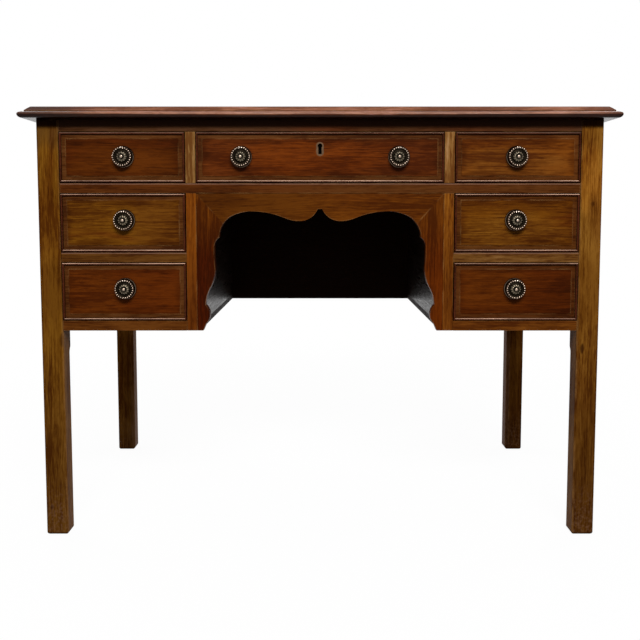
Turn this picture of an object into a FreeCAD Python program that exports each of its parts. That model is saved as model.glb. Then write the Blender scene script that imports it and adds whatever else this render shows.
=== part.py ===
import FreeCAD, Part
import math
import os

import Sketcher

# Knee-hole writing table: moulded top, four square legs, seven drawers, shaped arch over the knee hole.
# Millimetres, +Z up, front towards -Y, origin on the floor under the middle of the top.

SIZES = {
    # whole table
    "top_width": 1050,
    "top_depth": 580,
    "table_height": 775,
    "top_thickness": 21,
    "frame_width": 1002,
    "front_plane": 265,
    "rear_plane": 276,
    # moulded edge of the top, as insets from the nose and heights over the underside
    "mould_inset": 18,
    "quirk_inset": 9.3,
    "quirk_high": 13.7,
    "quirk_low": 12.6,
    "shoulder_inset": 2,
    "shoulder_height": 9.6,
    "nose_height": 6.3,
    "slope_radius": 60,
    "thumb_radius": 43,
    "nose_radius": 3.72,
    # legs
    "leg_size": 39,
    "leg_chamfer": 7,
    "chamfer_stop": 332,
    "stop_radius": 20,
    "chamfer_cutter": 18,
    "leg_round": 2.2,
    "foot_round": 5,
    # rails, stiles and drawer openings
    "rail_height": 18,
    "top_rail_height": 22,
    "rail_depth": 50,
    "upper_opening": 90,
    "lower_opening": 105,
    "knee_half": 220.5,
    "stile_width": 18,
    "stile_depth": 30,
    # tenons and tongues
    "tenon_length": 18,
    "tenon_thickness": 10,
    "tenon_width": 22,
    "tenon_inset": 8,
    "stub_length": 7,
    "tongue_length": 8,
    "tongue_thickness": 6,
    # panels
    "panel_thickness": 12,
    "panel_recess": 4,
    "knee_panel_proud": 5,
    "back_thickness": 10,
    "back_face": 242,
    # runners, guides, kickers and stops
    "runner_reach": 14,
    "guide_height": 20,
    "runner_over": 15.5,
    "stop_height": 5,
    "stop_depth": 18,
    "stop_width": 28,
    "stop_clearance": 0.4,
    # drawers
    "drawer_gap": 1.2,
    "front_thickness": 20,
    "bead_width": 3.4,
    "bead_depth": 10,
    "bead_proud": 2.4,
    "bead_radius": 1.6,
    "field_width": 7.5,
    "field_height": 0.9,
    "side_thickness": 9,
    "side_lift": 0.5,
    "side_drop": 4,
    "drawer_rear": 225,
    "tail_length": 11,
    "tail_narrow": 7.5,
    "tail_wide": 10,
    "bottom_thickness": 5,
    "bottom_height": 8,
    "groove_depth": 4,
    "back_drop": 10,
    "back_set": 14,
    "drawer_back": 8,
    "dado_depth": 3,
    # knobs
    "knob_out": 348,
    "centre_knob_out": 139.6,
    "upper_knob_height": 46,
    "middle_knob_height": 57.2,
    "lower_knob_height": 57.9,
    "rose_radius": 19.3,
    "rose_thickness": 3.2,
    "rose_round": 2,
    "knob_radius": 16.9,
    "knob_neck": 6.5,
    "neck_radius": 13,
    "rim_back": 9.6,
    "rim_front": 14.4,
    "dish_radius": 11.2,
    "dish_height": 10.4,
    "boss_radius": 4.4,
    "boss_back": 14.2,
    "boss_front": 16.6,
    "boss_rise": 2,
    "boss_round": 3.4,
    "boss_tip": 1.8,
    "dome_radius": 9,
    "stud_radius": 2.5,
    "stud_length": 27,
    "stud_clearance": 0.3,
    "nut_radius": 6,
    "nut_thickness": 4,
    # lock and escutcheon
    "lock_width": 60,
    "lock_height": 42,
    "lock_depth": 11.5,
    "bolt_width": 16,
    "bolt_depth": 5,
    "bolt_height": 16,
    "bolt_below": 0.8,
    "bolt_room": 0.4,
    "bolt_set": 3,
    "bolt_travel": 7,
    "strike_room": 1.5,
    "key_height": 65.5,
    "key_radius": 4.1,
    "key_slot_width": 6,
    "key_drop": 14.8,
    "escutcheon_drop": 11.6,
    "escutcheon_radius": 6.4,
    "escutcheon_depth": 2.5,
    # screws that hold the top
    "screw_radius": 2,
    "screw_head_radius": 4,
    "screw_head": 2.5,
    "screw_length": 33,
    "screw_clearance": 0.2,
    "rail_screw_set": 38,
    "kicker_screw_set": 76,
    "inner_screw_out": 122,
    "outer_screw_out": 345,
    # arch over the knee hole: places out from the middle and heights over the pedestal's bottom edge
    "arch_thickness": 15,
    "arch_set": 1,
    "apex_half": 4,
    "apex_height": 218,
    "dip_out": 36,
    "dip_height": 196.6,
    "ogee_out": 63.2,
    "ogee_height": 202.1,
    "crown_out": 122,
    "crown_height": 214,
    "haunch_out": 154.8,
    "haunch_height": 207,
    "mitre_out": 172.6,
    "mitre_height": 192,
    "spring_out": 180,
    "spring_height": 168,
    "step_out": 189,
    "step_height": 151,
    "waist_height": 137,
    "belly_out": 187.5,
    "belly_height": 112,
    "flare_out": 196.7,
    "flare_height": 77.3,
    "cusp_out": 205,
    "cusp_height": 46,
    "toe_out": 198,
    "toe_height": 32,
    "heel_out": 204.6,
    "heel_height": 13,
    "foot_out": 210,
    "apex_radius": 34.63,
    "dip_radius": 70,
    "ogee_radius": 151.3,
    "crown_radius": 80,
    "haunch_radius": 42.7,
    "step_radius": 20.4,
    "belly_radius": 210,
    "flare_radius": 70,
    "cusp_radius": 63.2,
    "toe_radius": 30,
    "heel_radius": 20,
}

LEFT = -1
RIGHT = 1
SIDES = {"left": LEFT, "right": RIGHT}
TAILS = 3
STOP_SHARES = (0.3, 0.7)
COCKBEAD_STRIPS = 4
NUT_SIDES = 6
CLOSE = 1e-6

doc = FreeCAD.newDocument("writing_table")
sheet = doc.addObject("Spreadsheet::Sheet", "dims")
for row, (alias, number) in enumerate(SIZES.items(), start=1):
    sheet.set(f"B{row}", str(number))
    sheet.setAlias(f"B{row}", alias)
doc.recompute()

# Places that follow from the driving dimensions, as expressions on the sheet.
FRONT = "(-dims.front_plane)"
REAR = "(dims.rear_plane)"
UNDER_TOP = "(dims.table_height - dims.top_thickness)"
LEG_INSIDE = "(dims.frame_width / 2 - dims.leg_size)"
LEG_OUTSIDE = "(dims.frame_width / 2)"
LEG_BACK = f"({FRONT} + dims.leg_size)"
REAR_LEG_FACE = f"({REAR} - dims.leg_size)"
RAIL_BACK = f"({FRONT} + dims.rail_depth)"
STILE_BACK = f"({FRONT} + dims.stile_depth)"
STILE_OUT = "(dims.knee_half + dims.stile_width)"
PANEL_OUT = "(dims.knee_half + dims.panel_thickness)"
SIDE_FACE = "(dims.frame_width / 2 - dims.panel_recess - dims.panel_thickness)"
BACK_FACE = "(dims.back_face)"
UPPER_HIGH = f"({UNDER_TOP} - dims.top_rail_height)"
UPPER_LOW = f"({UPPER_HIGH} - dims.upper_opening)"
MIDDLE_HIGH = f"({UPPER_LOW} - dims.rail_height)"
MIDDLE_LOW = f"({MIDDLE_HIGH} - dims.lower_opening)"
LOWER_HIGH = f"({MIDDLE_LOW} - dims.rail_height)"
LOWER_LOW = f"({LOWER_HIGH} - dims.lower_opening)"
CARCASS_LOW = f"({LOWER_LOW} - dims.rail_height)"
FRONT_INSIDE = f"({FRONT} + dims.front_thickness)"
BEAD_SEAT = f"({FRONT} + dims.bead_depth - dims.bead_proud)"
LOCK_FRONT = f"({FRONT_INSIDE} - dims.lock_depth)"

parts = []


def value(expression):
    """The number that an expression on the sheet gives now."""
    return float(sheet.evalExpression(expression))


def part(label, piece):
    """Name a finished sub-part and put it on the list of those that are written."""
    piece.Label = label
    parts.append(piece)
    return piece


def span(side, near, far):
    """Low and high X of something between two distances out from the middle."""
    if side == RIGHT:
        return near, far
    return f"-({far})", f"-({near})"


def across(half):
    """Low and high of something centred on zero."""
    return f"-({half})", f"({half})"


def around(middle, half):
    """Low and high of something centred on a place."""
    return f"({middle}) - ({half})", f"({middle}) + ({half})"


def place(piece, x, y, z):
    """Bind the place of a piece to expressions."""
    for axis, expression in zip("xyz", (x, y, z)):
        piece.setExpression(f"Placement.Base.{axis}", expression)


def block(name, x, y, z):
    """A rectangular block between the low and high expressions on each axis."""
    piece = doc.addObject("Part::Box", name)
    for side, (low, high) in zip(("Length", "Width", "Height"), (x, y, z)):
        piece.setExpression(side, f"({high}) - ({low})")
    place(piece, x[0], y[0], z[0])
    return piece


def rod(name, radius, length, x, y, z, direction):
    """A cylinder from a place along a direction."""
    piece = doc.addObject("Part::Cylinder", name)
    piece.Placement.Rotation = FreeCAD.Rotation(FreeCAD.Vector(0, 0, 1), FreeCAD.Vector(*direction))
    piece.setExpression("Radius", radius)
    piece.setExpression("Height", length)
    place(piece, x, y, z)
    return piece


def fused(name, pieces):
    """One solid from pieces that are cut from the same wood or metal."""
    piece = doc.addObject("Part::MultiFuse", name)
    piece.Shapes = pieces
    piece.Refine = True
    return piece


def grouped(name, pieces):
    """Separate solids kept together."""
    piece = doc.addObject("Part::Compound", name)
    piece.Links = pieces
    return piece


def fitted(name, base, mates):
    """A piece with the mortises, grooves and holes that its mates need."""
    piece = doc.addObject("Part::Cut", name)
    piece.Base = base
    piece.Tool = grouped(f"{name}_room", mates) if len(mates) > 1 else mates[0]
    return piece


def plane_of(body, role):
    """One of a body's own origin planes."""
    return next(plane for plane in body.Origin.OriginFeatures if plane.Role == role)


def arc_between(start, end, radius, bend):
    """The shorter arc from start to end; bend 1 turns left on the way, -1 turns right."""
    chord = end - start
    rise = math.sqrt(max(radius ** 2 - (chord.Length / 2) ** 2, 0))
    to_left = FreeCAD.Vector(-chord.y, chord.x, 0).normalize()
    centre = start + chord / 2 + to_left * rise * bend
    first, last = (start, end) if bend > 0 else (end, start)
    angles = [math.atan2(point.y - centre.y, point.x - centre.x) for point in (first, last)]
    return Part.ArcOfCircle(Part.Circle(centre, FreeCAD.Vector(0, 0, 1), radius), *angles)


def outline(body, name, role, corners):
    """A closed sketch. Each corner is (x, y) for a straight side on to the next corner,
    or (x, y, radius, bend) for an arc on to it."""
    sketch = body.newObject("Sketcher::SketchObject", name)
    sketch.AttachmentSupport = [(plane_of(body, role), "")]
    sketch.MapMode = "FlatFace"
    points = [FreeCAD.Vector(value(corner[0]), value(corner[1]), 0) for corner in corners]
    ends = []
    for index, corner in enumerate(corners):
        start, end = points[index], points[(index + 1) % len(points)]
        if len(corner) == 2:
            ends.append((sketch.addGeometry(Part.LineSegment(start, end)), 1, 2))
            continue
        bend = corner[3]
        edge = sketch.addGeometry(arc_between(start, end, value(corner[2]), bend))
        ends.append((edge, 1, 2) if bend > 0 else (edge, 2, 1))
    for index, (edge, _, finish) in enumerate(ends):
        follower, begin, _ = ends[(index + 1) % len(ends)]
        sketch.addConstraint(Sketcher.Constraint("Coincident", edge, finish, follower, begin))
    for (edge, begin, _), corner, point in zip(ends, corners, points):
        for kind, number, expression in (("DistanceX", point.x, corner[0]),
                                         ("DistanceY", point.y, corner[1])):
            rule = sketch.addConstraint(Sketcher.Constraint(kind, -1, 1, edge, begin, number))
            sketch.setExpression(f"Constraints[{rule}]", expression)
        if len(corner) > 2:
            rule = sketch.addConstraint(Sketcher.Constraint("Radius", edge, value(corner[2])))
            sketch.setExpression(f"Constraints[{rule}]", corner[2])
    return sketch


def flipped(corners):
    """An outline turned over to the other side of the middle."""
    result = []
    for x, y, *arc in corners:
        turn = (arc[0], -arc[1]) if arc else ()
        result.append((f"-({x})", y) + turn)
    return result


def walked_back(corners):
    """An outline with its corners in the opposite order."""
    result = []
    for index in range(len(corners) - 1, -1, -1):
        arc = corners[index - 1][2:]
        turn = (arc[0], -arc[1]) if arc else ()
        result.append(tuple(corners[index][:2]) + turn)
    return result


def padded(name, role, corners, length, backwards=False):
    """A body made by padding an outline."""
    body = doc.addObject("PartDesign::Body", name)
    pad = body.newObject("PartDesign::Pad", f"{name}_pad")
    pad.Profile = outline(body, f"{name}_outline", role, corners)
    pad.setExpression("Length", length)
    pad.Reversed = backwards
    return body


def turned(name, corners):
    """A body turned about its own Y axis; corners are (radius, place along the axis)."""
    body = doc.addObject("PartDesign::Body", name)
    sketch = outline(body, f"{name}_outline", "XY_Plane", corners)
    turn = body.newObject("PartDesign::Revolution", f"{name}_turn")
    turn.Profile = sketch
    turn.ReferenceAxis = (sketch, ["V_Axis"])
    turn.Angle = 360
    return body


# Screws that hold the top: (distance out, place in depth) for each side.
SCREWS = {
    "rail_inner": ("dims.inner_screw_out", f"{FRONT} + dims.rail_screw_set"),
    "rail_outer": ("dims.outer_screw_out", f"{FRONT} + dims.rail_screw_set"),
    "inner_kicker": ("dims.knee_half + dims.stile_width / 2", "dims.back_face - dims.kicker_screw_set"),
    "outer_kicker": (f"{LEG_INSIDE} + dims.tenon_inset", "dims.back_face - dims.kicker_screw_set"),
}


def screw(name, x, y, room):
    """A countersunk screw up into the top; room makes it the hole for one."""
    head = doc.addObject("Part::Cone", f"{name}_head")
    head.setExpression("Radius1", f"dims.screw_head_radius + {room}")
    head.setExpression("Radius2", f"dims.screw_radius + {room}")
    head.setExpression("Height", "dims.screw_head")
    place(head, x, y, UPPER_HIGH)
    shank = rod(f"{name}_shank", f"dims.screw_radius + {room}", f"dims.screw_length + {room}",
                x, y, UPPER_HIGH, (0, 0, 1))
    return fused(name, [head, shank])


def screws(name, room):
    """All the screws, or the holes for them."""
    made = []
    for key, (out, y) in SCREWS.items():
        for word, side in SIDES.items():
            made.append(screw(f"{name}_{key}_{word}", f"{side} * ({out})", y, room))
    return made


top_screws = grouped("top_screws", screws("screw", "0"))
screw_holes = grouped("screw_holes", screws("screw_hole", "dims.screw_clearance"))
part("top_screws", top_screws)


# Table top: two long prisms with the moulded section, whose common part has mitred corners.
def moulded(name, role, half, length):
    """A prism as wide as twice half, with the moulding on both long edges."""
    rise = UNDER_TOP
    right = [
        (f"{half} - dims.nose_height", rise, "dims.nose_height", 1),
        (half, f"{rise} + dims.nose_height", "dims.nose_radius", 1),
        (f"{half} - dims.shoulder_inset", f"{rise} + dims.shoulder_height", "dims.thumb_radius", 1),
        (f"{half} - dims.quirk_inset", f"{rise} + dims.quirk_low"),
        (f"{half} - dims.quirk_inset", f"{rise} + dims.quirk_high", "dims.slope_radius", 1),
        (f"{half} - dims.mould_inset", "dims.table_height"),
    ]
    return padded(name, role, right + walked_back(flipped(right)), length)


top_long = moulded("top_long", "YZ_Plane", "dims.top_depth / 2", "dims.top_width")
place(top_long, "-dims.top_width / 2", "0", "0")
top_cross = moulded("top_cross", "XZ_Plane", "dims.top_width / 2", "dims.top_depth")
place(top_cross, "0", "dims.top_depth / 2", "0")
top_board = doc.addObject("Part::Common", "top_board")
top_board.Base = top_long
top_board.Tool = top_cross
part("table_top", fitted("table_top", top_board, [screw_holes]))


# Rails across the front, with a tenon into each leg.
def tenon(name, x, low):
    """A tenon on the end of a rail whose bottom edge is at low."""
    return block(name, x, (f"{FRONT} + dims.tenon_inset", f"{FRONT} + dims.tenon_inset + dims.tenon_width"),
                 around(f"{low} + dims.rail_height / 2", "dims.tenon_thickness / 2"))


def full_rail(name, low, high):
    """A rail from leg to leg."""
    pieces = [block(f"{name}_bar", across(LEG_INSIDE), (FRONT, RAIL_BACK), (low, high))]
    for word, side in SIDES.items():
        ends = span(side, LEG_INSIDE, f"{LEG_INSIDE} + dims.tenon_length")
        pieces.append(tenon(f"{name}_tenon_{word}", ends, low))
    return fused(f"{name}_stock", pieces)


def pedestal_rail(name, side, low):
    """A rail from a knee-hole stile to a leg, with a tenon at both ends."""
    bar = block(f"{name}_bar", span(side, STILE_OUT, LEG_INSIDE), (FRONT, RAIL_BACK),
                (low, f"{low} + dims.rail_height"))
    outer = tenon(f"{name}_leg_tenon", span(side, LEG_INSIDE, f"{LEG_INSIDE} + dims.tenon_length"), low)
    inner = block(f"{name}_stile_tenon", span(side, f"{STILE_OUT} - dims.stub_length", STILE_OUT),
                  (f"{FRONT} + dims.tenon_inset", f"{STILE_BACK} - dims.tongue_length"),
                  around(f"{low} + dims.rail_height / 2", "dims.tenon_thickness / 2"))
    return fused(name, [bar, outer, inner])


def upright(name, side, depth, low, high, lower_stub, upper_stub):
    """A stile or divider with stub tenons into the rails that it stands between."""
    thickness = around("dims.knee_half + dims.stile_width / 2", "dims.tenon_thickness / 2")
    pieces = [block(f"{name}_bar", span(side, "dims.knee_half", STILE_OUT), (FRONT, f"{FRONT} + {depth}"),
                    (low, high))]
    stub_y = (f"{FRONT} + dims.tenon_inset", f"{FRONT} + dims.tenon_inset + dims.tenon_width / 2")
    if lower_stub:
        pieces.append(block(f"{name}_lower_stub", span(side, *thickness), stub_y,
                            (f"{low} - dims.stub_length", low)))
    if upper_stub:
        pieces.append(block(f"{name}_upper_stub", span(side, *thickness), stub_y,
                            (high, f"{high} + dims.stub_length")))
    return fused(name, pieces)


middle_rails = []
bottom_rails = []
dividers = []
stile_stock = []
for word, side in SIDES.items():
    middle_rails.append(pedestal_rail(f"middle_rail_{word}", side, LOWER_HIGH))
    bottom_rails.append(pedestal_rail(f"bottom_rail_{word}", side, CARCASS_LOW))
    dividers.append(upright(f"divider_{word}", side, "dims.rail_depth", UPPER_LOW, UPPER_HIGH, True, True))
    stile_stock.append(upright(f"stile_{word}_stock", side, "dims.stile_depth", CARCASS_LOW, MIDDLE_HIGH,
                               False, True))
part("middle_rails", grouped("middle_rails", middle_rails))
part("bottom_rails", grouped("bottom_rails", bottom_rails))
part("upper_dividers", grouped("upper_dividers", dividers))

top_rail_stock = full_rail("top_rail", UPPER_HIGH, UNDER_TOP)
drawer_rail_stock = full_rail("drawer_rail", MIDDLE_HIGH, UPPER_LOW)
bolt_y = (f"{FRONT_INSIDE} - dims.bolt_set - dims.bolt_depth", f"{FRONT_INSIDE} - dims.bolt_set")
strike = block("strike_slot", across("dims.bolt_width / 2 + dims.strike_room"),
               (f"{bolt_y[0]} - dims.strike_room", f"{bolt_y[1]} + dims.strike_room"),
               (UPPER_HIGH, f"{UPPER_HIGH} + dims.bolt_travel"))
part("top_rail", fitted("top_rail", top_rail_stock, dividers + [strike, screw_holes]))
part("drawer_rail", fitted("drawer_rail", drawer_rail_stock, dividers + stile_stock))


# Panels, each with tongues into its neighbours.
side_panels = {}
knee_panels = {}
for word, side in SIDES.items():
    face = span(side, SIDE_FACE, f"{SIDE_FACE} + dims.panel_thickness")
    tongue = span(side, *around(f"{SIDE_FACE} + dims.panel_thickness / 2", "dims.tongue_thickness / 2"))
    board = block(f"side_board_{word}", face, (LEG_BACK, REAR_LEG_FACE), (CARCASS_LOW, UNDER_TOP))
    edges = block(f"side_tongue_{word}", tongue,
                  (f"{LEG_BACK} - dims.tongue_length", f"{REAR_LEG_FACE} + dims.tongue_length"),
                  (CARCASS_LOW, UNDER_TOP))
    side_panels[word] = part(f"side_panel_{word}", fused(f"side_panel_{word}", [board, edges]))

    board = block(f"knee_board_{word}", span(side, "dims.knee_half - dims.knee_panel_proud", PANEL_OUT),
                  (STILE_BACK, BACK_FACE), (CARCASS_LOW, MIDDLE_HIGH))
    thickness = around("dims.knee_half + dims.panel_thickness / 2", "dims.tongue_thickness / 2")
    edge = block(f"knee_tongue_{word}", span(side, *thickness),
                 (f"{STILE_BACK} - dims.tongue_length", STILE_BACK), (CARCASS_LOW, MIDDLE_HIGH))
    knee_panels[word] = part(f"knee_panel_{word}", fused(f"knee_panel_{word}", [board, edge]))

back_board = block("back_board", across(LEG_INSIDE), (BACK_FACE, f"{BACK_FACE} + dims.back_thickness"),
                   (CARCASS_LOW, UNDER_TOP))
back_tongue = block("back_tongue", across(f"{LEG_INSIDE} + dims.tongue_length"),
                    around(f"{BACK_FACE} + dims.back_thickness / 2", "dims.tongue_thickness / 2"),
                    (CARCASS_LOW, UNDER_TOP))
back_panel = part("back_panel", fused("back_panel", [back_board, back_tongue]))

stiles = []
for index, word in enumerate(SIDES):
    mates = [knee_panels[word], middle_rails[index], bottom_rails[index]]
    stiles.append(fitted(f"stile_{word}", stile_stock[index], mates))
part("pedestal_stiles", grouped("pedestal_stiles", stiles))


# Legs: square posts with a stopped chamfer down the inside corner.
def chamfer_room(name, side, corner_y, inward):
    """What the chamfer takes away; inward is 1 or -1, the Y direction out of the leg at that corner."""
    slant = math.sqrt(0.5)
    out = FreeCAD.Vector(-side * slant, inward * slant, 0)
    along = FreeCAD.Vector(-out.y, out.x, 0)
    reach = "dims.chamfer_cutter"
    corner = (f"{side} * {LEG_INSIDE}", corner_y)
    inset = [f"{corner[0]} + {side} * dims.leg_chamfer / 2", f"{corner[1]} - {inward} * dims.leg_chamfer / 2"]
    start = [f"{place_in} - {step} * {reach}" for place_in, step in zip(inset, (along.x, along.y))]
    flat = doc.addObject("Part::Box", f"{name}_flat")
    flat.Placement.Rotation = FreeCAD.Rotation(out, along, FreeCAD.Vector(0, 0, 1), "XYZ")
    flat.setExpression("Length", reach)
    flat.setExpression("Width", f"2 * {reach}")
    flat.setExpression("Height", "dims.chamfer_stop")
    place(flat, start[0], start[1], "0")
    scoop_at = [f"{place_in} + {step} * dims.stop_radius" for place_in, step in zip(start, (out.x, out.y))]
    scoop = rod(f"{name}_scoop", "dims.stop_radius", f"2 * {reach}", scoop_at[0], scoop_at[1],
                "dims.chamfer_stop", (along.x, along.y, 0))
    return fused(f"{name}_room", [flat, scoop])


def post(name, x, y):
    """A square post from the floor to the top, with its arrises and the rim of its foot rounded a little."""
    stock = block(f"{name}_stock", x, y, ("0", UNDER_TOP))
    doc.recompute()
    arris_radius = value("dims.leg_round")
    rim_radius = value("dims.foot_round")
    rounded_edges = []
    for number, edge in enumerate(stock.Shape.Edges, start=1):
        if edge.BoundBox.ZMax < CLOSE:
            rounded_edges.append((number, rim_radius, rim_radius))
        elif edge.BoundBox.ZMin < CLOSE:
            rounded_edges.append((number, arris_radius, arris_radius))
    rounded = doc.addObject("Part::Fillet", name)
    rounded.Base = stock
    rounded.Edges = rounded_edges
    return rounded


for index, (word, side) in enumerate(SIDES.items()):
    x = span(side, LEG_INSIDE, LEG_OUTSIDE)
    front_post = post(f"front_post_{word}", x, (FRONT, LEG_BACK))
    rails = [top_rail_stock, drawer_rail_stock, middle_rails[index], bottom_rails[index]]
    chamfer = chamfer_room(f"front_chamfer_{word}", side, LEG_BACK, 1)
    trimmed = fitted(f"front_trimmed_{word}", front_post, [chamfer])
    part(f"front_leg_{word}", fitted(f"front_leg_{word}", trimmed, rails + [side_panels[word]]))

    rear_post = post(f"rear_post_{word}", x, (REAR_LEG_FACE, REAR))
    chamfer = chamfer_room(f"rear_chamfer_{word}", side, REAR_LEG_FACE, -1)
    trimmed = fitted(f"rear_trimmed_{word}", rear_post, [chamfer])
    part(f"rear_leg_{word}", fitted(f"rear_leg_{word}", trimmed, [side_panels[word], back_panel]))


# Runners carry the drawer sides, guides steer them, kickers stop the top row from tipping.
runners = []
guides = []
kickers = []
LEVELS = {"lower": CARCASS_LOW, "middle": LOWER_HIGH, "upper": MIDDLE_HIGH}
for word, side in SIDES.items():
    outer_x = span(side, f"{LEG_INSIDE} - dims.runner_reach", SIDE_FACE)
    outer_y = (RAIL_BACK, REAR_LEG_FACE)
    inner_y = (RAIL_BACK, BACK_FACE)
    double_x = span(side, "dims.knee_half - dims.runner_over", f"{STILE_OUT} + dims.runner_over")
    for level, low in LEVELS.items():
        z = (low, f"{low} + dims.rail_height")
        above = (z[1], f"{z[1]} + dims.guide_height")
        runners.append(block(f"outer_runner_{level}_{word}", outer_x, outer_y, z))
        guides.append(block(f"outer_guide_{level}_{word}", span(side, LEG_INSIDE, SIDE_FACE), outer_y, above))
        if level == "upper":
            inner_x = double_x
            guide_x = span(side, "dims.knee_half", STILE_OUT)
        else:
            inner_x = span(side, PANEL_OUT, f"{STILE_OUT} + dims.runner_over")
            guide_x = span(side, PANEL_OUT, STILE_OUT)
        runners.append(block(f"inner_runner_{level}_{word}", inner_x, inner_y, z))
        guides.append(block(f"inner_guide_{level}_{word}", guide_x, inner_y, above))
    kicker_z = (UPPER_HIGH, UNDER_TOP)
    for key, x, y in (("outer", outer_x, outer_y), ("inner", double_x, inner_y)):
        stock = block(f"{key}_kicker_{word}_stock", x, y, kicker_z)
        kickers.append(fitted(f"{key}_kicker_{word}", stock, [screw_holes]))
part("runners_and_kickers", grouped("runners_and_kickers", runners + kickers))


# Arch over the knee hole: an apron and two brackets, mitred together.
def arch_height(name):
    """A height on the arch, over the floor."""
    return f"{CARCASS_LOW} + dims.{name}_height"


APRON_HALF = [
    ("dims.knee_half", MIDDLE_HIGH),
    ("dims.mitre_out", arch_height("mitre"), "dims.haunch_radius", 1),
    ("dims.haunch_out", arch_height("haunch"), "dims.crown_radius", 1),
    ("dims.crown_out", arch_height("crown"), "dims.ogee_radius", 1),
    ("dims.ogee_out", arch_height("ogee"), "dims.dip_radius", -1),
    ("dims.dip_out", arch_height("dip"), "dims.apex_radius", -1),
    ("dims.apex_half", arch_height("apex")),
]

apron_front = f"{FRONT} + dims.arch_set"
apron_outline = APRON_HALF + walked_back(flipped(APRON_HALF))
apron = padded("arch_apron", "XZ_Plane", apron_outline, "dims.arch_thickness", True)
place(apron, "0", apron_front, "0")
part("arch_apron", apron)

BRACKET = [
    ("dims.knee_half", CARCASS_LOW),
    ("dims.knee_half", MIDDLE_HIGH),
    ("dims.mitre_out", arch_height("mitre"), "dims.haunch_radius", -1),
    ("dims.spring_out", arch_height("spring"), "dims.step_radius", -1),
    ("dims.step_out", arch_height("step")),
    ("dims.step_out", arch_height("waist"), "dims.belly_radius", -1),
    ("dims.belly_out", arch_height("belly"), "dims.flare_radius", 1),
    ("dims.flare_out", arch_height("flare"), "dims.cusp_radius", -1),
    ("dims.cusp_out", arch_height("cusp"), "dims.toe_radius", 1),
    ("dims.toe_out", arch_height("toe"), "dims.heel_radius", 1),
    ("dims.heel_out", arch_height("heel")),
    ("dims.foot_out", CARCASS_LOW),
]
for word, side in SIDES.items():
    corners = BRACKET if side == RIGHT else flipped(BRACKET)
    bracket = padded(f"arch_bracket_{word}", "XZ_Plane", corners, "dims.arch_thickness", True)
    place(bracket, "0", apron_front, "0")
    part(f"arch_bracket_{word}", bracket)


# Knobs: a rose on the drawer front, a turned knob with its stud, and a nut inside the drawer.
KNOB = [
    ("0", "dims.stud_length"),
    ("dims.stud_radius", "dims.stud_length"),
    ("dims.stud_radius", "-dims.rose_thickness"),
    ("dims.knob_neck", "-dims.rose_thickness", "dims.neck_radius", -1),
    ("dims.knob_radius", "-dims.rim_back"),
    ("dims.knob_radius", "-dims.rim_front + dims.rose_round"),
    ("dims.knob_radius - dims.rose_round", "-dims.rim_front"),
    ("dims.dish_radius", "-dims.dish_height", "dims.dome_radius", 1),
    ("dims.boss_radius", "-dims.boss_back"),
    ("dims.boss_radius", "-dims.boss_front + dims.boss_rise", "dims.boss_round", 1),
    ("dims.boss_tip", "-dims.boss_front"),
    ("0", "-dims.boss_front"),
]
ROSE = [
    ("dims.stud_radius + dims.stud_clearance", "0"),
    ("dims.rose_radius", "0"),
    ("dims.rose_radius", "-dims.rose_thickness + dims.rose_round", "dims.rose_round", 1),
    ("dims.rose_radius - dims.rose_round", "-dims.rose_thickness"),
    ("dims.stud_radius + dims.stud_clearance", "-dims.rose_thickness"),
]


def knob(name, x, z):
    """Rose, knob and nut of one knob."""
    rose = turned(f"{name}_rose", ROSE)
    head = turned(f"{name}_head", KNOB)
    for piece in (rose, head):
        place(piece, x, FRONT, z)
    nut = doc.addObject("Part::Prism", f"{name}_nut_stock")
    nut.Polygon = NUT_SIDES
    nut.Placement.Rotation = FreeCAD.Rotation(FreeCAD.Vector(0, 0, 1), FreeCAD.Vector(0, 1, 0))
    nut.setExpression("Circumradius", "dims.nut_radius")
    nut.setExpression("Height", "dims.nut_thickness")
    place(nut, x, FRONT_INSIDE, z)
    return [rose, head, fitted(f"{name}_nut", nut, [stud_room(name, x, z)])]


def stud_room(name, x, z):
    """The hole for the stud of a knob, through the drawer front and the nut."""
    return rod(f"{name}_stud_room", "dims.stud_radius + dims.stud_clearance", "dims.stud_length", x, FRONT, z,
               (0, 1, 0))


# Drawers: dovetailed boxes with cockbeaded fronts.
def cockbead(name, left, right, bottom, top):
    """Four mitred strips with a rounded nose, round the edge of a drawer front."""
    lay = FreeCAD.Rotation(FreeCAD.Vector(1, 0, 0), -90)
    starts = [(left, top), (right, top), (right, bottom), (left, bottom)]
    strips = []
    for index in range(COCKBEAD_STRIPS):
        length = f"({right}) - ({left})" if index % 2 == 0 else f"({top}) - ({bottom})"
        strip = doc.addObject("Part::Wedge", f"{name}_strip_{index}_stock")
        strip.Xmin = strip.Ymin = strip.Zmin = strip.Z2min = 0
        strip.setExpression("Xmax", length)
        strip.setExpression("X2min", "dims.bead_width")
        strip.setExpression("X2max", f"{length} - dims.bead_width")
        strip.setExpression("Ymax", "dims.bead_width")
        strip.setExpression("Zmax", "dims.bead_depth")
        strip.setExpression("Z2max", "dims.bead_depth")
        strip.Placement.Rotation = FreeCAD.Rotation(FreeCAD.Vector(0, 1, 0), 90 * index) * lay
        x, z = starts[index]
        place(strip, x, f"{FRONT} - dims.bead_proud", z)
        strips.append(strip)
    doc.recompute()
    rounded = []
    for index, strip in enumerate(strips):
        nose = doc.addObject("Part::Fillet", f"{name}_strip_{index}")
        nose.Base = strip
        radius = value("dims.bead_radius")
        nose.Edges = [(number, radius, radius) for number in nose_edges(strip.Shape)]
        rounded.append(nose)
    return rounded


def nose_edges(shape):
    """Numbers of the two long edges at the front of a cockbead strip."""
    front = shape.BoundBox.YMin
    long_side = 2 * value("dims.bead_width")
    numbers = []
    for number, edge in enumerate(shape.Edges, start=1):
        at_front = all(abs(corner.Y - front) < CLOSE for corner in edge.Vertexes)
        if at_front and edge.Length > long_side:
            numbers.append(number)
    return numbers


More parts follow.
